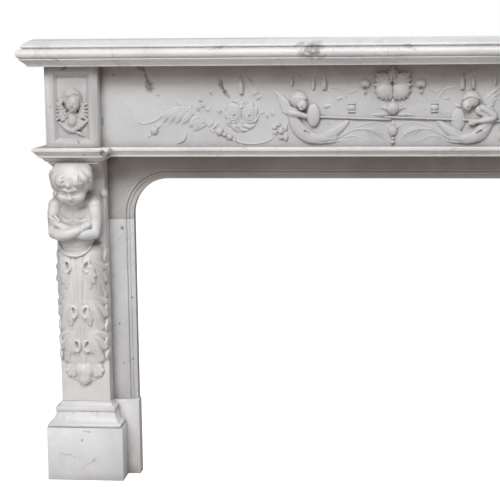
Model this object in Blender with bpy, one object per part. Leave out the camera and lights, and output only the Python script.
"""A carved marble chimneypiece: moulded shelf, relief frieze and two jambs carved as winged child herms.

Metres, +Z up. X runs along the shelf, the fire side faces -Y and the wall is at +Y.
The origin is on the floor, midway between the jambs and midway between the wall and the shelf's front edge.
"""

import math

import bmesh
import bpy
import numpy as np
from mathutils import Matrix

# Driving dimensions, plan
OPENING_WIDTH = 1.483
SLIP_WIDTH = 0.07175
SLIP_THICKNESS = 0.030
SLIP_PLINTH_REVEAL = 0.004  # how far the slip's plinth stands into the opening
SHAFT_WIDTH = 0.1415
BLOCK_WIDTH = 0.1475
PLINTH_WIDTH = 0.222

# Driving dimensions, depth: each step is how far one face stands in front of another
SLIP_DEPTH = 0.172  # from the wall to the slips' face
SLIP_PLINTH_STEP = 0.010  # in front of the slips
SHAFT_STEP = 0.048  # in front of the slips
PLINTH_STEP = 0.034  # in front of the shafts
FRIEZE_STEP = 0.030  # in front of the shafts
BLOCK_STEP = 0.038  # in front of the frieze
SHELF_STEP = 0.062  # in front of the end blocks

# Driving dimensions, height
PLINTH_HEIGHT = 0.157
BASE_HEIGHT = 0.0705
SLIP_PLINTH_HEIGHT = 0.224
OPENING_HEIGHT = 0.8715
CORNER_RADIUS = 0.103
JOINT_BELOW_ARCH = 0.014  # the slips stop this far below the start of the rounded corner
HEADER_BAND = 0.0699  # from the head of the opening to the foot of the frieze
HEADER_OVERLAP = 0.030  # how far the header stands up behind the frieze
NECK_HEIGHT = 0.0127  # the capital's lower members
BED_HEIGHT = 0.0265  # the moulding along the foot of the frieze
BLOCK_HEIGHT = 0.222
SHELF_THICKNESS = 0.0745

# Driving dimensions, detail
JOINT = 0.0003  # mortar joint between two pieces
FLARE_HEIGHT = 0.045
FLARE_FILLET = 0.0065
PANEL_MARGIN_SIDE = 0.024
PANEL_MARGIN_END = 0.0165
PANEL_BEVEL = 0.009
PANEL_RECESS = 0.009

# Planes and levels that follow from them
SHAFT_DEPTH = SLIP_DEPTH + SHAFT_STEP
FRIEZE_DEPTH = SHAFT_DEPTH + FRIEZE_STEP
BLOCK_DEPTH = FRIEZE_DEPTH + BLOCK_STEP
WALL = (BLOCK_DEPTH + SHELF_STEP) / 2
SLIP_FACE = WALL - SLIP_DEPTH
SLIP_PLINTH_FACE = SLIP_FACE - SLIP_PLINTH_STEP
SHAFT_FACE = WALL - SHAFT_DEPTH
PLINTH_FACE = SHAFT_FACE - PLINTH_STEP
FRIEZE_FACE = WALL - FRIEZE_DEPTH
BLOCK_FACE = WALL - BLOCK_DEPTH
SLIP_BACK = SLIP_FACE + SLIP_THICKNESS
SLIP_OUTSIDE = OPENING_WIDTH / 2 + SLIP_WIDTH
JAMB_AXIS = SLIP_OUTSIDE + JOINT + SHAFT_WIDTH / 2
FRIEZE_HALF = JAMB_AXIS - BLOCK_WIDTH / 2 - JOINT
BASE_FOOT = PLINTH_HEIGHT + JOINT
SHAFT_FOOT = BASE_FOOT + BASE_HEIGHT + JOINT
ARCH_FOOT = OPENING_HEIGHT - CORNER_RADIUS
SLIP_TOP = ARCH_FOOT - JOINT_BELOW_ARCH
FRIEZE_FOOT = OPENING_HEIGHT + HEADER_BAND
CAP_FOOT = FRIEZE_FOOT - JOINT - NECK_HEIGHT
SHAFT_TOP = CAP_FOOT - JOINT
BLOCK_FOOT = FRIEZE_FOOT + BED_HEIGHT + JOINT
BLOCK_TOP = BLOCK_FOOT + BLOCK_HEIGHT
SHELF_FOOT = BLOCK_TOP + JOINT
SHAFT_HEIGHT = SHAFT_TOP - SHAFT_FOOT
FLARE_REACH = BLOCK_DEPTH - SHAFT_DEPTH

# The shelf's profile: shares of its step in front of the end blocks, and of its thickness
SHELF_PROFILE = [
    (0.590, 0.000),
    (0.613, 0.040),
    (0.710, 0.107),
    (0.806, 0.188),
    (0.879, 0.255),
    (0.879, 0.289),
    (0.839, 0.302),
    (0.927, 0.322),
    (0.976, 0.369),
    (1.000, 0.450),
    (0.984, 0.530),
    (0.927, 0.591),
    (0.847, 0.624),
    (0.750, 0.631),
    (0.750, 0.658),
    (0.806, 0.685),
    (0.818, 0.732),
    (0.753, 0.792),
    (0.565, 0.913),
    (0.347, 1.000),
]
# Other profiles: how far each point stands out, and its height as a share of the moulding's
NECK_PROFILE = [(0.0015, 0.00), (0.0050, 0.23), (0.0090, 0.62), (0.0140, 0.92), (0.0160, 1.00)]
BED_PROFILE = [
    (0.0160, 0.00),
    (0.0180, 0.08),
    (0.0235, 0.23),
    (0.0275, 0.42),
    (0.0290, 0.57),
    (0.0330, 0.64),
    (0.0335, 0.96),
    (0.0325, 1.00),
]
BASE_PROFILE = [
    (0.0315, 0.000),
    (0.0350, 0.028),
    (0.0365, 0.085),
    (0.0350, 0.156),
    (0.0285, 0.255),
    (0.0220, 0.355),
    (0.0190, 0.468),
    (0.0175, 0.582),
    (0.0165, 0.638),
    (0.0165, 0.809),
    (0.0100, 0.830),
    (0.0050, 0.901),
    (0.0035, 0.922),
    (0.0035, 1.000),
]
# The slips' moulded inner edge: distance from the opening, and how far behind the face
SLIP_EDGE = [
    (0.0000, 0.0050),
    (0.0125, 0.0050),
    (0.0128, 0.0025),
    (0.0190, 0.0015),
    (0.0205, 0.0030),
    (0.0212, 0.0000),
    (0.0230, -0.0015),
    (0.0262, -0.0015),
    (0.0282, 0.0000),
]

# Faces that each carved piece may take
JAMB_FACES = 1850
FRIEZE_FACES = 1900
BUST_FACES = 360
ARCH_STEPS = 12
ARCH_SIDE_STEPS = 5  # of those, how many face the header's outer side
FLARE_STEPS = 8
CURVE_STEPS = 4  # pieces of each stretch of a carved curve
HERM_GRAIN = 2.6  # millimetres between the points that each carving is worked out at
FRIEZE_GRAIN = 2.0
BUST_GRAIN = 1.6
FAR = 1000.0
BARELY_STONE = -0.1  # in grains: the distance given to a corner of the grid that is filled to part two voids
RELIEF_TOP = 100.0  # above any relief, so that none of it is undercut


def marble(name, colour, roughness):
    material = bpy.data.materials.new(name)
    material.use_nodes = True
    shader = material.node_tree.nodes["Principled BSDF"]
    shader.inputs["Base Color"].default_value = (*colour, 1.0)
    shader.inputs["Roughness"].default_value = roughness
    shader.inputs["Metallic"].default_value = 0.0
    return material


def new_object(name, mesh, material):
    made = bpy.data.objects.new(name, mesh)
    mesh.materials.append(material)
    bpy.context.scene.collection.objects.link(made)
    return made


def finish_mesh(bm, name):
    bmesh.ops.remove_doubles(bm, verts=bm.verts, dist=0.000001)
    bmesh.ops.recalc_face_normals(bm, faces=bm.faces)
    mesh = bpy.data.meshes.new(name)
    bm.to_mesh(mesh)
    bm.free()
    return mesh


def loft(name, loops, material):
    """A closed solid through loops of points, each loop with as many points as the last."""
    bm = bmesh.new()
    rings = [[bm.verts.new(point) for point in loop] for loop in loops]
    for low, high in zip(rings, rings[1:]):
        for k in range(len(low)):
            after = (k + 1) % len(low)
            bm.faces.new((low[k], low[after], high[after], high[k]))
    bm.faces.new(rings[0])
    bm.faces.new(rings[-1])
    return new_object(name, finish_mesh(bm, name), material)


def box(name, low, high, material):
    corners = [(low[0], low[1]), (high[0], low[1]), (high[0], high[1]), (low[0], high[1])]
    return loft(name, [[(x, y, z) for x, y in corners] for z in (low[2], high[2])], material)


def mirrored(piece, name):
    """The same piece on the other side of the opening."""
    graph = bpy.context.evaluated_depsgraph_get()
    mesh = bpy.data.meshes.new_from_object(piece.evaluated_get(graph))
    mesh.transform(Matrix.Scale(-1, 4, (1, 0, 0)) @ piece.matrix_world)
    mesh.flip_normals()
    other = bpy.data.objects.new(name, mesh)
    bpy.context.scene.collection.objects.link(other)
    return other


def flipped(side, points):
    """Points as given (side 1), or their mirror images about the middle (side -1)."""
    return [(side * point[0], *point[1:]) for point in points]


# The moulded slabs
def shelf(material):
    half = JAMB_AXIS + BLOCK_WIDTH / 2
    loops = []
    for reach, share in SHELF_PROFILE:
        out = reach * SHELF_STEP
        x, front, z = half + out, BLOCK_FACE - out, SHELF_FOOT + share * SHELF_THICKNESS
        loops.append([(-x, WALL, z), (-x, front, z), (x, front, z), (x, WALL, z)])
    return loft("shelf", loops, material)


def returned_plan(half_width, face, out, stop, flush_stop):
    """The plan of a jamb's moulding, which stands out in front and at both sides.

    On the side of the opening it runs back to stop, and is flush with the jamb behind flush_stop."""
    left = -JAMB_AXIS - half_width - out
    right = -JAMB_AXIS + half_width + out
    flush = -JAMB_AXIS + half_width
    front = face - out
    return [(left, WALL), (left, front), (right, front), (right, stop), (flush, flush_stop), (flush, WALL)]


def cap_left(material):
    """Its neck dies on the slip's face; its upper members meet the frieze's moulding in a mitre."""
    half = BLOCK_WIDTH / 2
    died = SLIP_FACE - JOINT
    loops = []
    for out, share in NECK_PROFILE:
        plan = returned_plan(half, BLOCK_FACE, out, died, died)
        loops.append([(x, y, CAP_FOOT + share * NECK_HEIGHT) for x, y in plan])
    bed_foot, bed_top = CAP_FOOT + NECK_HEIGHT, BLOCK_FOOT - JOINT
    for out, share in BED_PROFILE:
        plan = returned_plan(half, BLOCK_FACE, out, FRIEZE_FACE - out, FRIEZE_FACE)
        loops.append([(x, y, bed_foot + share * (bed_top - bed_foot)) for x, y in plan])
    return loft("capital_left", loops, material)


def base_left(material):
    stop = SLIP_PLINTH_FACE - JOINT
    loops = []
    for out, share in BASE_PROFILE:
        plan = returned_plan(SHAFT_WIDTH / 2, SHAFT_FACE, out, stop, stop)
        loops.append([(x, y, BASE_FOOT + share * BASE_HEIGHT) for x, y in plan])
    return loft("base_moulding_left", loops, material)


def plinth_left(material):
    out = (PLINTH_WIDTH - SHAFT_WIDTH) / 2
    stop = SLIP_PLINTH_FACE - JOINT
    plan = returned_plan(SHAFT_WIDTH / 2, PLINTH_FACE + out, out, stop, stop)
    return loft("plinth_left", [[(x, y, z) for x, y in plan] for z in (0.0, PLINTH_HEIGHT)], material)


# The slips that line the opening
def slip_plinth_left(material):
    inside = -OPENING_WIDTH / 2 + SLIP_PLINTH_REVEAL
    low = (-SLIP_OUTSIDE, SLIP_PLINTH_FACE, 0.0)
    high = (inside, SLIP_BACK, SLIP_PLINTH_HEIGHT)
    return box("slip_plinth_left", low, high, material)


def slip_left(material):
    edge = -OPENING_WIDTH / 2
    section = [(edge, SLIP_BACK)]
    section += [(edge - inward, SLIP_FACE + recess) for inward, recess in SLIP_EDGE]
    section += [(-SLIP_OUTSIDE, SLIP_FACE), (-SLIP_OUTSIDE, SLIP_BACK)]
    levels = (SLIP_PLINTH_HEIGHT + JOINT, SLIP_TOP)
    return loft("slip_left", [[(x, y, z) for x, y in section] for z in levels], material)


def header(material):
    """Swept round the head of the opening: each station runs from the opening out to the hidden edge."""
    shoulder = CAP_FOOT - JOINT
    top = FRIEZE_FOOT + HEADER_OVERLAP
    inside = OPENING_WIDTH / 2
    straight = inside - CORNER_RADIUS
    foot = SLIP_TOP + JOINT
    outer = [(SLIP_OUTSIDE, z) for z in np.linspace(ARCH_FOOT, shoulder, ARCH_SIDE_STEPS)]
    outer += [(FRIEZE_HALF, shoulder)]
    outer += [(x, top) for x in np.linspace(FRIEZE_HALF, straight, ARCH_STEPS - ARCH_SIDE_STEPS)]
    stations = [((inside, foot), (1.0, 0.0), (SLIP_OUTSIDE, foot))]
    for k in range(ARCH_STEPS + 1):
        turn = math.pi / 2 * k / ARCH_STEPS
        away = (math.cos(turn), math.sin(turn))
        point = (straight + CORNER_RADIUS * away[0], ARCH_FOOT + CORNER_RADIUS * away[1])
        stations.append((point, away, outer[k]))
    stations += [flipped(-1, station) for station in reversed(stations)]
    loops = []
    for (x, z), (ax, az), (ox, oz) in stations:
        loop = [(x, SLIP_BACK, z)]
        loop += [(x + ax * inward, SLIP_FACE + recess, z + az * inward) for inward, recess in SLIP_EDGE]
        loop += [(ox, SLIP_FACE, oz), (ox, SLIP_BACK, oz)]
        loops.append(loop)
    return loft("slip_header", loops, material)


# Carving
class Carving:
    """A field of distances to the carved surface, in millimetres, from which its mesh is made.

    Points are (across, height, out): out is measured from the face that the carving stands on.
    made_for is the width, height and depth of the stone it is drawn for, which it is stretched to fit.
    """

    def __init__(self, low, high, grain, made_for):
        self.grain = grain
        self.made_for = made_for
        self.axes = [np.arange(a, b + grain, grain, dtype=np.float32) for a, b in zip(low, high)]
        self.field = np.full([len(axis) for axis in self.axes], FAR, dtype=np.float32)

    def window(self, low, high):
        spans = []
        for axis, a, b in zip(self.axes, low, high):
            spans.append(slice(*np.searchsorted(axis, (a, b))))
        return tuple(spans)

    def places(self, spans):
        x, z, y = (axis[span] for axis, span in zip(self.axes, spans))
        return x[:, None, None], z[None, :, None], y[None, None, :]

    def add(self, spans, distance, soft):
        self.field[spans] = melted(self.field[spans], distance, soft)

    def cut(self, spans, distance, soft):
        self.field[spans] = -melted(-self.field[spans], distance, soft)

    def ball(self, centre, radii, turn=0.0, lean=0.0, soft=3.0, cut=False):
        """An egg of radii (across, height, out), turned in the plane of the face and then leant forward."""
        reach = max(radii) + soft + 2 * self.grain
        spans = self.window([c - reach for c in centre], [c + reach for c in centre])
        if 0 in self.field[spans].shape:
            return
        x, z, y = (axis - c for axis, c in zip(self.places(spans), centre))
        c, s = math.cos(math.radians(lean)), math.sin(math.radians(lean))
        z, y = z * c + y * s, y * c - z * s
        c, s = math.cos(math.radians(turn)), math.sin(math.radians(turn))
        x, z = x * c - z * s, x * s + z * c
        near = np.sqrt((x / radii[0]) ** 2 + (z / radii[1]) ** 2 + (y / radii[2]) ** 2) + 1e-6
        steep = np.sqrt((x / radii[0] ** 2) ** 2 + (z / radii[1] ** 2) ** 2 + (y / radii[2] ** 2) ** 2) + 1e-6
        distance = near * (near - 1.0) / steep
        (self.cut if cut else self.add)(spans, distance, soft)

    def run(self, points, radii, depth=1.0, soft=2.0, cut=False):
        """A limb, stem or leaf that swells and tapers along a curve. depth flattens it towards the face."""
        path, sizes = smooth_path(points, radii)
        reach = max(sizes) + soft + 2 * self.grain
        spans = self.window(path.min(axis=0) - reach, path.max(axis=0) + reach)
        if 0 in self.field[spans].shape:
            return
        x, z, y = self.places(spans)
        distance = np.float32(FAR)
        for start, end, first, last in zip(path, path[1:], sizes, sizes[1:]):
            way = end - start
            share = (x - start[0]) * way[0] + (z - start[1]) * way[1] + (y - start[2]) * way[2]
            share = np.clip(share / (way @ way), 0.0, 1.0)
            aside = (x - start[0] - share * way[0]) ** 2 + (z - start[1] - share * way[1]) ** 2
            proud = (y - start[2] - share * way[2]) / depth
            distance = np.minimum(distance, np.sqrt(aside + proud**2) - (first + (last - first) * share))
        (self.cut if cut else self.add)(spans, distance, soft)

    def let_in(self, floor, backed):
        """Sets where the carving is cut off flat behind the face, and how far out nothing is undercut."""
        self.floor = floor
        self.backed = slice(0, int(np.searchsorted(self.axes[2], backed)))

    def back_up(self):
        behind = self.field[:, :, self.backed]
        self.field[:, :, self.backed] = np.minimum.accumulate(behind[:, :, ::-1], axis=2)[:, :, ::-1]
        self.field = np.maximum(self.field, self.floor - self.axes[2][None, None, :])
        for axis in range(3):
            np.moveaxis(self.field, axis, 0)[[0, -1]] = self.grain

    def untangle(self):
        """Fills a corner of the grid wherever the stone would meet itself only along an edge or at a tip."""
        touching = True
        while touching:
            touching = False
            self.back_up()
            inside = self.field < 0
            for first, second in ((0, 1), (0, 2), (1, 2)):
                stone = np.moveaxis(inside, (first, second), (0, 1))
                level = np.moveaxis(self.field, (first, second), (0, 1))
                near, one, other, far = stone[:-1, :-1], stone[1:, :-1], stone[:-1, 1:], stone[1:, 1:]
                crossed = near & far & ~(one | other)
                level[1:, :-1][crossed] = BARELY_STONE * self.grain
                touching |= bool(crossed.any())
                crossed = one & other & ~(near | far)
                level[:-1, :-1][crossed] = BARELY_STONE * self.grain
                touching |= bool(crossed.any())
            if touching:
                continue
            stone, level = corner_views(inside), corner_views(self.field)
            filled = sum(corner.astype(np.int8) for corner in stone.values())
            for i, j, k in ((0, 0, 0), (1, 0, 0), (0, 1, 0), (0, 0, 1)):
                one, opposite = stone[i, j, k], stone[1 - i, 1 - j, 1 - k]
                for crossed, target in (
                    ((filled == 2) & one & opposite, level[1 - i, j, k]),
                    ((filled == 6) & ~one & ~opposite, level[i, j, k]),
                ):
                    target[crossed] = BARELY_STONE * self.grain
                    touching |= bool(crossed.any())

    def surface(self):
        """A point in each cell that the surface crosses, and a quad round each crossed edge of the grid."""
        self.untangle()
        field = self.field
        inside = field < 0
        filled = sum(corner.astype(np.int8) for corner in corner_views(inside).values())
        cells = np.argwhere((filled > 0) & (filled < 8))
        number = np.full(filled.shape, -1, dtype=np.int64)
        number[tuple(cells.T)] = np.arange(len(cells))
        total = np.zeros((len(cells), 3))
        crossings = np.zeros(len(cells))
        steps = np.eye(3, dtype=int)
        quads = []
        for axis in range(3):
            along, first, second = steps[axis], steps[axis - 2], steps[axis - 1]
            for shift in (first * 0, first, second, first + second):
                start = cells + shift
                a, b = field[tuple(start.T)], field[tuple((start + along).T)]
                crossed = (a < 0) != (b < 0)
                share = a[crossed] / (a[crossed] - b[crossed])
                total[crossed] += shift + along * share[:, None]
                crossings += crossed
            changes = np.argwhere(np.diff(inside, axis=axis))
            changes = changes[(changes[:, axis - 2] > 0) & (changes[:, axis - 1] > 0)]
            ring = [number[tuple((changes - back).T)] for back in (first * 0, first, first + second, second)]
            ring = np.stack(ring, axis=1)
            leaving = inside[tuple(changes.T)]
            ring[~leaving] = ring[~leaving][:, ::-1]
            quads.append(ring)
        points = np.array([axis[0] for axis in self.axes]) + self.grain * (cells + total / crossings[:, None])
        return points, np.concatenate(quads)


def corner_views(grid):
    """The grid as seen by each of the eight corners of its cells."""
    ends = (slice(None, -1), slice(1, None))
    return {(i, j, k): grid[ends[i], ends[j], ends[k]] for i in (0, 1) for j in (0, 1) for k in (0, 1)}


def melted(a, b, soft):
    """The lower of two distances, with the crease between them filled over a width of soft."""
    if soft <= 0:
        return np.minimum(a, b)
    near = np.maximum(soft - np.abs(a - b), 0.0) / soft
    return np.minimum(a, b) - near * near * soft / 4


def smooth_path(points, radii):
    """Points close together on a smooth curve through the given ones, with the radius at each."""
    points = np.array([(*point, 0.0)[:3] for point in points], dtype=float)
    if len(points) == 2:
        return points, np.array(radii, dtype=float)
    ends = np.vstack([2 * points[0] - points[1], points, 2 * points[-1] - points[-2]])
    path, sizes = [], []
    for k in range(len(points) - 1):
        a, b, c, d = ends[k : k + 4]
        for step in range(CURVE_STEPS):
            t = step / CURVE_STEPS
            bend = (2 * a - 5 * b + 4 * c - d) * t**2 + (3 * b - a - 3 * c + d) * t**3
            path.append((2 * b + (c - a) * t + bend) / 2)
            sizes.append(radii[k] + (radii[k + 1] - radii[k]) * t)
    return np.array([*path, points[-1]]), np.array([*sizes, radii[-1]], dtype=float)


def carved_mesh(carving, name, origin, size, faces):
    """The carving as a hidden object of about as many faces as asked, on the stone of that size at origin."""
    points, quads = carving.surface()
    across, height, out = (points * size / carving.made_for).T
    x, y, z = origin
    mesh = bpy.data.meshes.new(name)
    mesh.from_pydata(np.stack([x + across, y - out, z + height], axis=1).tolist(), [], quads.tolist())
    rough = bpy.data.objects.new(name + "_fine", mesh)
    bpy.context.scene.collection.objects.link(rough)
    thin = rough.modifiers.new("Thin", "DECIMATE")
    thin.ratio = min(1.0, faces / (2 * len(quads)))
    graph = bpy.context.evaluated_depsgraph_get()
    made = bpy.data.objects.new(name, bpy.data.meshes.new_from_object(rough.evaluated_get(graph)))
    bpy.data.objects.remove(rough, do_unlink=True)
    bpy.context.scene.collection.objects.link(made)
    made.hide_render = True
    made.display_type = "WIRE"
    return made


def fuse(piece, carving, solver="EXACT"):
    join = piece.modifiers.new("Carving", "BOOLEAN")
    join.operation = "UNION"
    join.solver = solver
    join.object = carving
    return piece


# The herm on each jamb. Heights are above the jamb's foot, and out is from the shaft's face
HEAD = (0.0, 645.0, 77.0)
HEAD_BOW = 30.0  # degrees
SHOULDER = (52.0, 575.0, 42.0)
ELBOW = (57.0, 501.0, 57.0)
STEM_LEVELS = (60.0, 120.0, 175.0, 275.0, 350.0, 410.0, 440.0, 462.0)
STEM_HALF_WIDTHS = (30.0, 54.0, 60.0, 63.0, 65.0, 66.0, 66.0, 60.0)
STEM_DEPTHS = (8.0, 20.0, 31.0, 50.0, 62.0, 68.0, 60.0, 44.0)
STEM_SQUARENESS = 2.4  # 2 would make its section an ellipse
# Each pair of drilled eyes: half its spacing, its height and how far it stands out
EYES = ((26.0, 409.0, 66.0), (15.5, 276.0, 52.0), (13.5, 174.0, 33.0))


def bowed(point):
    """A point given on the upright head, moved to where the bowed head has it."""
    across, height, out = point
    c, s = math.cos(math.radians(HEAD_BOW)), math.sin(math.radians(HEAD_BOW))
    return (HEAD[0] + across, HEAD[1] + height * c - out * s, HEAD[2] + out * c + height * s)


def head(carving):
    carving.ball(HEAD, (51.0, 49.0, 47.0), soft=0.0)
    carving.ball(bowed((0.0, -22.0, 22.0)), (38.0, 30.0, 26.0), lean=-HEAD_BOW, soft=10.0)
    carving.ball(bowed((0.0, -42.0, 34.0)), (15.0, 11.0, 13.0), lean=-HEAD_BOW, soft=10.0)
    carving.run([bowed((0.0, -6.0, 45.0)), bowed((0.0, -19.0, 52.0))], (4.0, 7.0), soft=5.0)
    lips = [bowed((-11.0, -31.0, 45.0)), bowed((0.0, -32.0, 49.0)), bowed((11.0, -31.0, 45.0))]
    carving.run(lips, (2.0, 4.0, 2.0))
    for side in (-1, 1):
        carving.ball(bowed((side * 23.0, -24.0, 33.0)), (17.0, 16.0, 15.0), soft=8.0)
        carving.ball(bowed((side * 17.0, -8.0, 46.0)), (11.0, 6.0, 7.0), lean=-HEAD_BOW, soft=2.0, cut=True)
        carving.ball(bowed((side * 17.0, -9.0, 39.0)), (8.0, 6.0, 6.0), soft=1.0)
        carving.ball(bowed((side * 50.0, -12.0, -2.0)), (7.0, 13.0, 10.0), soft=4.0)
    for k in range(7):
        swing = math.radians(-66.0 + 22.0 * k)
        aside, ahead = math.sin(swing), math.cos(swing)
        root = bowed((30.0 * aside, 40.0, 12.0))
        curl = bowed((49.0 * aside, 24.0 - 12.0 * abs(aside), 40.0 * ahead))
        carving.run([root, curl], (5.0, 5.0), soft=5.0)


def trunk(carving):
    carving.ball((0.0, 548.0, 26.0), (50.0, 48.0, 34.0), soft=8.0)
    carving.ball((0.0, 478.0, 30.0), (46.0, 44.0, 41.0), soft=12.0)
    carving.run([(0.0, 575.0, 34.0), bowed((0.0, -30.0, 0.0))], (30.0, 28.0), soft=8.0)
    for side in (-1, 1):
        carving.ball((side * 20.0, 556.0, 44.0), (23.0, 17.0, 17.0), soft=6.0)
        carving.ball((side * 42.0, 590.0, 28.0), (24.0, 18.0, 22.0), soft=10.0)
    carving.ball((-1.0, 470.0, 72.0), (2.5, 3.5, 4.0), soft=2.0, cut=True)


def arms(carving):
    for side in (-1, 1):
        shoulder = (side * SHOULDER[0], *SHOULDER[1:])
        elbow = (side * ELBOW[0], *ELBOW[1:])
        carving.run([shoulder, (side * 57.0, 540.0, 46.0), elbow], (21.0, 18.0, 15.5), soft=5.0)
    under = [(ELBOW[0], ELBOW[1] - 2.0, 60.0), (30.0, 500.0, 78.0), (-8.0, 509.0, 80.0), (-40.0, 525.0, 70.0)]
    over = [(-ELBOW[0], ELBOW[1] - 1.0, 60.0), (-28.0, 498.0, 84.0), (10.0, 507.0, 91.0), (43.0, 524.0, 74.0)]
    carving.run(under, (16.0, 15.0, 13.0, 10.0), soft=2.0)
    carving.run(over, (16.5, 16.0, 14.0, 11.0), soft=1.0)
    for k in range(4):
        knuckle = (-44.0, 533.0 - 5.5 * k, 74.0)
        tip = (-66.0 + 1.5 * k, 541.0 - 7.5 * k, 60.0 + 2.0 * k)
        carving.run([knuckle, tip], (5.0, 4.0), soft=1.5)


def wings(carving):
    """A folded wing on each side face, its knuckle at the shoulder, its feathers pointing down and back."""
    for side in (-1, 1):
        edge = side * 68.0
        carving.ball((edge, 602.0, -8.0), (8.0, 12.0, 15.0), soft=4.0)
        for k in range(4):
            bend = (edge, 556.0 + 7.0 * k, -10.0 - 5.0 * k)
            tip = (edge, 500.0 + 18.0 * k, -26.0 - 4.0 * k)
            carving.run([(edge, 598.0, -4.0 - 4.0 * k), bend, tip], (6.5, 6.5, 4.0), soft=1.0)


def stem(carving):
    """The stem that the child grows from, deep at the belly and shallow at its foot."""
    spans = carving.window((-90.0, STEM_LEVELS[0], -20.0), (90.0, STEM_LEVELS[-1], 110.0))
    x, z, y = carving.places(spans)
    half = np.interp(z, STEM_LEVELS, STEM_HALF_WIDTHS)
    deep = np.interp(z, STEM_LEVELS, STEM_DEPTHS)
    aside, ahead = np.abs(x) / half, np.maximum(y, 0.0) / deep
    near = (aside**STEM_SQUARENESS + ahead**STEM_SQUARENESS) ** (1 / STEM_SQUARENESS)
    carving.add(spans, ((near - 1.0) * np.minimum(half, deep)).astype(np.float32), 6.0)


def leaves(carving):
    """Tiers of acanthus lobes hang outwards from the eyes, each over the tier below."""
    tiers = (
        ((52.0, 420.0, 30.0), (17.0, 36.0, 20.0), 8.0),
        ((56.0, 372.0, 22.0), (16.0, 34.0, 18.0), 4.0),
        ((34.0, 360.0, 50.0), (13.0, 40.0, 16.0), 16.0),
        ((58.0, 318.0, 14.0), (13.0, 26.0, 16.0), 10.0),
        ((47.0, 300.0, 32.0), (16.0, 38.0, 18.0), 14.0),
        ((52.0, 250.0, 14.0), (17.0, 34.0, 17.0), 12.0),
        ((26.0, 246.0, 38.0), (12.0, 32.0, 13.0), 14.0),
        ((48.0, 196.0, 12.0), (16.0, 24.0, 14.0), 22.0),
        ((42.0, 150.0, 12.0), (17.0, 30.0, 14.0), 20.0),
        ((22.0, 148.0, 24.0), (11.0, 26.0, 10.0), 16.0),
    )
    for side in (-1, 1):
        for (aside, height, out), radii, turn in tiers:
            carving.ball((side * aside, height, out), radii, turn=side * turn, lean=-8.0, soft=0.8)
        carving.ball((side * 36.0, 90.0, 8.0), (17.0, 19.0, 13.0), turn=side * 24.0, soft=1.0)
    carving.ball((0.0, 86.0, 10.0), (26.0, 36.0, 16.0), soft=1.0)


def eyes(carving):
    for across, height, out in EYES:
        for side in (-1, 1):
            rim = (side * across, height - 4.0, out - 4.0)
            hole = (side * across, height, out + 3.0)
            carving.ball(rim, (9.5, 16.0, 9.0), turn=side * 20.0, soft=3.0)
            carving.ball(hole, (4.5, 8.5, 12.0), turn=side * 20.0, soft=1.0, cut=True)
    for side in (-1, 1):
        rib = [(9.0, 400.0, 66.0), (7.0, 300.0, 54.0), (5.0, 180.0, 34.0), (4.0, 110.0, 24.0)]
        carving.run(flipped(side, rib), (5.0, 4.5, 4.0, 3.0), soft=2.0)
    collar = [(-50.0, 462.0, 34.0), (-30.0, 440.0, 60.0), (0.0, 431.0, 70.0)]
    collar += flipped(-1, collar[-2::-1])
    carving.run(collar, (4.0,) * 5, soft=1.0)


def herm():
    made_for = (141.5, 700.0, 68.0)  # the shaft's width and height and the reach of its flare
    carving = Carving((-88.0, 40.0, -46.0), (88.0, 702.0, 136.0), HERM_GRAIN, made_for)
    for part in (stem, leaves, eyes, trunk, wings, head, arms):
        part(carving)
    carving.let_in(-44.0, 16.0)
    return carving


# The frieze's relief. Points are (across, height) from the middle of the panel's foot, for the left half
def boss(carving, side, place, radii, soft=1.0):
    carving.ball((side * place[0], *place[1:]), radii, soft=soft)


def tendril(carving, side, points, thick=2.6, thin=1.8):
    radii = [thick + (thin - thick) * k / (len(points) - 1) for k in range(len(points))]
    carving.run(flipped(side, points), radii, soft=1.5)


def leaf(carving, side, root, tip, width, bend=0.0):
    """A pointed leaf from root to tip, bowed sideways by bend."""
    x = (root[0] + tip[0]) / 2 + bend * (tip[1] - root[1])
    z = (root[1] + tip[1]) / 2 - bend * (tip[0] - root[0])
    radii = (width * 0.35, width, width * 0.2)
    carving.run(flipped(side, [root, (x, z), tip]), radii, depth=0.8, soft=1.5)


def fringe(carving, side, spine, count, length, width, angle):
    """Lobes hang from a spine one after another, each turned by angle from the spine's direction."""
    path, _ = smooth_path(spine, [1.0] * len(spine))
    for k in range(count):
        share = (k + 0.5) / count
        place = round(share * (len(path) - 2))
        along = path[place + 1] - path[place]
        heading = math.atan2(along[1], along[0]) + math.radians(angle)
        reach = length * (0.65 + 0.35 * math.sin(math.pi * share))
        root = (path[place][0], path[place][1])
        tip = (root[0] + reach * math.cos(heading), root[1] + reach * math.sin(heading))
        leaf(carving, side, root, tip, width, bend=0.12)


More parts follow.
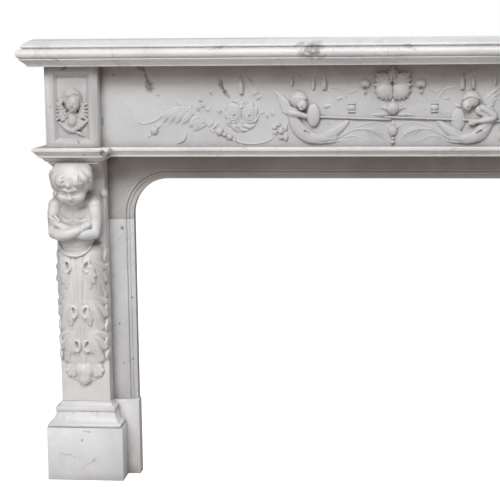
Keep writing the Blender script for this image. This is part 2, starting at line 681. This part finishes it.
def scroll(carving, side):
    """An acanthus scroll from a curled tendril to a husk of fruit, with flowers and a poppy head about it."""
    tendril(carving, side, [(-704, 68), (-691, 63), (-660, 71), (-632, 89), (-596, 101)], 2.2, 3.5)
    spine = [(-624, 95), (-596, 103), (-568, 100), (-538, 86), (-507, 61)]
    carving.run(flipped(side, spine), (3.0, 6.0, 7.0, 6.5, 5.0), depth=0.9, soft=2.0)
    fringe(carving, side, spine, 6, 36.0, 6.0, -128.0)
    sprig = (((-571, 103), (-599, 129)), ((-563, 100), (-571, 125)), ((-557, 100), (-560, 117)))
    husk = (((-507, 53), (-496, 71)), ((-499, 48), (-482, 65)), ((-507, 50), (-490, 36)))
    for root, tip in sprig + husk:
        leaf(carving, side, root, tip, 4.7)
    leaf(carving, side, (-521, 72), (-552, 45), 8.0, bend=0.2)
    leaf(carving, side, (-513, 59), (-538, 42), 6.0, bend=0.2)
    boss(carving, side, (-478.0, 42.0, 3.0), (11.0, 11.0, 9.0))
    boss(carving, side, (-465.0, 28.0, 2.0), (6.5, 5.0, 6.0))
    boss(carving, side, (-450.0, 28.0, 3.0), (7.0, 7.5, 8.0))
    tendril(carving, side, [(-446, 20), (-410, 8), (-371, 8), (-340, 17), (-318, 36)], 2.2, 2.2)
    boss(carving, side, (-661.0, 45.0, 3.0), (11.5, 11.0, 10.0))
    leaf(carving, side, (-657, 50), (-642, 61), 4.5)
    leaf(carving, side, (-668, 36), (-682, 24), 3.5)
    leaf(carving, side, (-571, 38), (-599, 8), 6.0, bend=-0.15)
    for flower in ((-538, 104), (-524, 114), (-531, 129), (-510, 103), (-477, 97)):
        boss(carving, side, (*flower, 0.0), (5.0, 5.0, 4.5))
    for bud in ((-326, 53), (-315, 61), (-308, 41), (-307, 25), (-324, 39)):
        boss(carving, side, (*bud, 1.0), (7.5, 7.0, 6.5), soft=1.5)
    tendril(carving, side, [(-310, 48), (-282, 67)], 2.6, 2.2)


def rosette(carving, side):
    """A round flower of two whorls of petals in a wreath of leaves, with a drop above it."""
    x, z = -415.0, 88.0
    boss(carving, side, (x, z, 0.0), (40.0, 40.0, 7.0))
    for k in range(14):
        turn = math.tau * k / 14
        root = (x + 33.0 * math.cos(turn), z + 33.0 * math.sin(turn))
        tip = (x + 47.0 * math.cos(turn + 0.30), z + 47.0 * math.sin(turn + 0.30))
        leaf(carving, side, root, tip, 7.0)
    for heart in (x - 21.0, x + 21.0):
        for k in range(7):
            turn = math.tau * k / 7
            petal = (heart + 14.5 * math.cos(turn), z + 2.0 + 14.5 * math.sin(turn), 4.0)
            boss(carving, side, petal, (7.0, 7.0, 8.5))
        boss(carving, side, (heart, z + 2.0, 4.0), (6.5, 6.5, 8.0))
    boss(carving, side, (x, z - 26.0, 3.0), (9.0, 11.0, 9.0))
    boss(carving, side, (x, z + 27.0, 3.0), (7.0, 9.0, 9.0))
    leaf(carving, side, (x, 188), (x, 147), 6.0)
    for root, tip in (((-377, 150), (-385, 139)), ((-363, 139), (-374, 128)), ((-346, 95), (-346, 75))):
        leaf(carving, side, root, tip, 3.6)


def fish_tail(carving, side):
    """The child's body runs on as a curled leaf, which ends in two sprays."""
    body = [(-285, 92), (-274, 61), (-257, 39), (-232, 21), (-196, 17), (-163, 25), (-138, 42), (-124, 67)]
    carving.run(flipped(side, body), (15.0, 17.0, 17.0, 14.0, 10.5, 9.0, 7.5, 2.5), depth=0.75)
    leaf(carving, side, (-213, 20), (-168, 42), 8.0, bend=-0.15)
    leaf(carving, side, (-179, 20), (-121, 67), 9.0, bend=-0.12)
    leaf(carving, side, (-196, 12), (-151, 14), 6.0)
    slit = [(-240, 42, 12), (-231, 36, 12)]
    carving.run(flipped(side, slit), (3.0, 2.4), soft=0.5, cut=True)
    tendril(carving, side, [(-165, 14), (-126, 34), (-101, 48), (-79, 60), (-51, 68), (-29, 64), (-15, 50)])
    tendril(carving, side, [(-126, 34), (-101, 46), (-79, 46), (-62, 36)], 2.4, 2.8)
    leaf(carving, side, (-74, 45), (-24, 23), 8.0, bend=-0.1)
    tendril(carving, side, [(-132, 25), (-101, 28), (-68, 12)], 1.8, 1.6)


def child_head(carving, x, z, facing):
    """A curly head at (x, z). facing is -1 where it looks to the left and 1 to the right."""
    carving.ball((x, z, 6.0), (21.0, 23.0, 14.0), soft=1.0)
    carving.ball((x + facing * 5.0, z - 12.0, 10.0), (14.0, 16.0, 10.0), turn=-facing * 10.0)
    carving.ball((x + facing * 10.0, z - 15.0, 19.0), (3.5, 4.5, 4.0))
    for k in range(7):
        turn = math.radians(-20.0 + 37.0 * k)
        lock = (x + 18.0 * math.cos(turn), z + 3.0 + 18.0 * math.sin(turn), 8.0)
        carving.ball(lock, (7.0, 7.0, 7.0), soft=2.0)


def shield_child(carving):
    """The left child stands behind an oval shield."""
    child_head(carving, -256.0, 125.0, 1)
    for k in range(4):
        feather = [(-282, 97), (-304 + 5.6 * k, 130 - 9.7 * k), (-322 + 6.1 * k, 148 - 15.2 * k)]
        carving.run(feather, (5.5, 6.0, 2.5), depth=0.8, soft=0.8)
    carving.run([(-285, 92), (-260, 89), (-238, 83)], (9.0, 7.5, 6.0))
    carving.ball((-217.0, 86.0, 8.0), (17.5, 31.0, 6.5), soft=0.0)


def facing_child(carving):
    """The right child rests a bent arm on the lance, with a shield behind."""
    carving.ball((179.0, 72.0, 4.0), (19.0, 31.0, 7.0), soft=0.0)
    child_head(carving, 210.0, 122.0, -1)
    carving.run([(185, 122, 16), (210, 132, 16), (238, 125, 16)], (4.5, 5.0, 4.5), soft=1.0)
    carving.ball((232.0, 92.0, 4.0), (17.0, 15.0, 11.0))
    carving.run([(246, 103, 6), (276, 79, 8)], (9.0, 8.0))
    carving.run([(276, 79, 9), (249, 74, 11), (218, 67, 9)], (8.0, 7.0, 5.0), soft=1.0)
    for k in range(3):
        feather = [(251, 111), (263 + 4.2 * k, 133 - 8.3 * k), (283 + 2.8 * k, 155 - 16.6 * k)]
        carving.run(feather, (4.5, 5.0, 2.5), soft=0.8)


def hangings(carving, side):
    """Bells, drops, swags and spools hang from the top of the panel."""
    x, z = -78.0, 171.0
    boss(carving, side, (x, z, 3.0), (13.5, 11.0, 9.0))
    leaf(carving, side, (x, z - 6.0), (x, z - 30.0), 5.5)
    for height in (117.0, 106.0, 94.0):
        carving.run(flipped(side, [(-122.0, height), (-106.0, height)]), (4.5, 4.5), soft=0.5)
    drops = ((-188, 193, 153, 7.5), (-218, 183, 158, 5.0), (-276, 188, 166, 4.5), (-144, 133, 119, 4.0))
    for x, top, foot, width in drops:
        leaf(carving, side, (x, top), (x, foot), width)
    leaf(carving, side, (-168, 111), (-188, 107), 4.5)
    tendril(carving, side, [(-101, 154), (-118, 146), (-132, 156)], 1.9, 1.9)
    tendril(carving, side, [(-126, 135), (-140, 154), (-168, 161)], 1.9, 1.9)


def centre(carving):
    """A vine leaf over a lotus bud, and a bud finial below the lances."""
    heart = (0.0, 169.0)
    carving.ball((*heart, 0.0), (33.0, 34.0, 8.0), soft=2.0)
    for lobe in range(9):
        turn = math.radians(90.0 + 40.0 * lobe)
        reach = 33.0 + 5.0 * math.cos(3.0 * (turn - math.pi / 2))
        tip = (1.12 * reach * math.cos(turn), heart[1] + reach * math.sin(turn))
        carving.ball((*tip, 3.0), (12.0, 12.0, 7.0), soft=1.0)
        carving.run([heart, tip], (3.5, 2.0), soft=1.5)
    for side in (1, -1):
        leaf(carving, side, (-4, 88), (-36, 104), 6.5, bend=0.2)
        leaf(carving, side, (-4, 86), (-57, 85), 4.5)
        leaf(carving, side, (-4, 34), (-21, 56), 5.0, bend=0.2)
    leaf(carving, 1, (0.0, 119.0), (0.0, 136.0), 3.5)
    carving.ball((0.0, 104.0, 2.0), (17.0, 17.5, 13.0), soft=1.0)
    carving.ball((0.0, 43.0, 2.0), (12.5, 14.0, 11.0), soft=1.0)
    leaf(carving, 1, (0.0, 53.0), (0.0, 71.0), 4.0)
    carving.ball((0.0, 11.6, 1.0), (6.5, 6.5, 7.0), soft=1.0)


def lances(carving):
    carving.run([(-240, 83, 7), (307, 68, 7)], (3.4, 3.4), soft=0.5)
    carving.run([(-118, 71, 4), (240, 76, 4)], (2.4, 2.4), soft=0.5)


def frieze_relief():
    made_for = (1620.5, 222.0, 222.0)  # the panel's width and height, and the height again for the depth
    carving = Carving((-720.0, 2.0, -10.0), (720.0, 218.0, 26.0), FRIEZE_GRAIN, made_for)
    for side in (1, -1):
        scroll(carving, side)
        rosette(carving, side)
        fish_tail(carving, side)
        hangings(carving, side)
    centre(carving)
    shield_child(carving)
    facing_child(carving)
    lances(carving)
    carving.let_in(-7.0, RELIEF_TOP)
    return carving


# The busts. Points are from the middle of the panel on the end block
def bust():
    """A child's head between curls, over a crossed scarf and small wings."""
    made_for = (99.5, 189.0, 189.0)  # the panel's width and height, and the height again for the depth
    carving = Carving((-44.0, -74.0, -5.0), (46.0, 62.0, 32.0), BUST_GRAIN, made_for)
    carving.ball((-1.0, 20.0, 5.0), (25.0, 29.0, 17.0), turn=6.0, soft=1.0)
    carving.ball((1.0, 2.0, 12.0), (16.0, 20.0, 12.0), turn=6.0, soft=4.0)
    carving.ball((2.0, -14.0, 16.0), (7.0, 6.0, 6.0), soft=4.0)
    carving.run([(1.5, 10.0, 22.0), (2.5, 0.0, 25.0)], (2.0, 3.6), soft=3.0)
    for side in (-1, 1):
        carving.ball((1.0 + side * 8.0, -3.0, 17.0), (7.0, 7.0, 6.0), soft=4.0)
        scarf = [(36.0, -34.0, 3.0), (10.0, -52.0, 8.0), (-11.0, -60.0, 4.0)]
        carving.run(flipped(side, scarf), (5.0, 8.0, 4.0), soft=1.0)
        for k in range(5):
            lock = (side * (22.0 + 1.5 * k) - 3.0, 26.0 - 12.0 * k, 6.0)
            carving.ball(lock, (8.0, 9.0, 8.0), turn=side * 20.0, soft=1.5)
        for k in range(3):
            feather = [(22.0, -26.0, 4.0), (32.0, -8.0 - 10.0 * k, 5.0), (39.0, 4.0 - 11.0 * k, 2.0)]
            carving.run(flipped(side, feather), (5.0, 6.0, 4.0), soft=0.8)
    carving.run([(1.0, -12.0, 2.0), (-1.0, -36.0, 4.0)], (13.0, 15.0), soft=3.0)
    carving.ball((0.0, -42.0, 2.0), (30.0, 17.0, 10.0), soft=2.0)
    carving.let_in(-3.0, RELIEF_TOP)
    return carving


def jamb_left(material):
    """A plain pier whose face sweeps forward under the capital, with the herm on that face."""
    flare_foot = SHAFT_TOP - FLARE_FILLET - FLARE_HEIGHT
    section = [(WALL, SHAFT_FOOT), (SHAFT_FACE, SHAFT_FOOT)]
    for k in range(FLARE_STEPS + 1):
        turn = math.pi / 2 * k / FLARE_STEPS
        y = SHAFT_FACE - FLARE_REACH * (1 - math.cos(turn))
        section.append((y, flare_foot + FLARE_HEIGHT * math.sin(turn)))
    section += [(BLOCK_FACE, SHAFT_TOP), (WALL, SHAFT_TOP)]
    sides = (-JAMB_AXIS - SHAFT_WIDTH / 2, -JAMB_AXIS + SHAFT_WIDTH / 2)
    pier = loft("jamb_left", [[(x, y, z) for y, z in section] for x in sides], material)
    size = (SHAFT_WIDTH, SHAFT_HEIGHT, FLARE_REACH)
    return fuse(pier, carved_mesh(herm(), "herm", (-JAMB_AXIS, SHAFT_FACE, SHAFT_FOOT), size, JAMB_FACES))


# The end blocks
def end_block_left(material):
    left, right = -JAMB_AXIS - BLOCK_WIDTH / 2, -JAMB_AXIS + BLOCK_WIDTH / 2
    loops = []
    for inset_x, inset_z, y in (
        (0.0, 0.0, WALL),
        (0.0, 0.0, BLOCK_FACE),
        (PANEL_MARGIN_SIDE, PANEL_MARGIN_END, BLOCK_FACE),
        (PANEL_MARGIN_SIDE + PANEL_BEVEL, PANEL_MARGIN_END + PANEL_BEVEL, BLOCK_FACE + PANEL_RECESS),
    ):
        x0, x1, z0, z1 = left + inset_x, right - inset_x, BLOCK_FOOT + inset_z, BLOCK_TOP - inset_z
        loops.append([(x0, y, z0), (x1, y, z0), (x1, y, z1), (x0, y, z1)])
    block = loft("end_block_left", loops, material)
    width, height = BLOCK_WIDTH - 2 * PANEL_MARGIN_SIDE, BLOCK_HEIGHT - 2 * PANEL_MARGIN_END
    ground = (-JAMB_AXIS, BLOCK_FACE + PANEL_RECESS, (BLOCK_FOOT + BLOCK_TOP) / 2)
    return fuse(block, carved_mesh(bust(), "bust", ground, (width, height, height), BUST_FACES))


# The frieze
def frieze(material):
    back = SLIP_FACE - JOINT
    levels = [(out, FRIEZE_FOOT + share * BED_HEIGHT) for out, share in BED_PROFILE]
    levels += [(0.0, FRIEZE_FOOT + BED_HEIGHT), (0.0, BLOCK_TOP)]
    loops = []
    for out, z in levels:
        x, front = FRIEZE_HALF - out, FRIEZE_FACE - out
        plan = [(x, front), (FRIEZE_HALF, FRIEZE_FACE), (FRIEZE_HALF, back)]
        loops.append([(across, y, z) for across, y in plan + flipped(-1, reversed(plan))])
    slab = loft("frieze", loops, material)
    size = (2 * FRIEZE_HALF, BLOCK_HEIGHT, BLOCK_HEIGHT)
    relief = carved_mesh(frieze_relief(), "relief", (0.0, FRIEZE_FACE, BLOCK_FOOT), size, FRIEZE_FACES)
    return fuse(slab, relief, solver="MANIFOLD")  # so many small pieces at once are more than EXACT joins


def clear_scene():
    for old in list(bpy.data.objects):
        bpy.data.objects.remove(old, do_unlink=True)


def main():
    clear_scene()
    carved = marble("carved_marble", (0.80, 0.79, 0.77), 0.45)
    moulded = marble("moulded_marble", (0.82, 0.81, 0.80), 0.35)
    slips = marble("slip_marble", (0.76, 0.76, 0.76), 0.38)
    shelf(moulded)
    frieze(carved)
    header(slips)
    for make, material in (
        (plinth_left, moulded),
        (base_left, moulded),
        (jamb_left, carved),
        (cap_left, moulded),
        (end_block_left, carved),
        (slip_plinth_left, slips),
        (slip_left, slips),
    ):
        piece = make(material)
        mirrored(piece, piece.name.replace("_left", "_right"))


main()
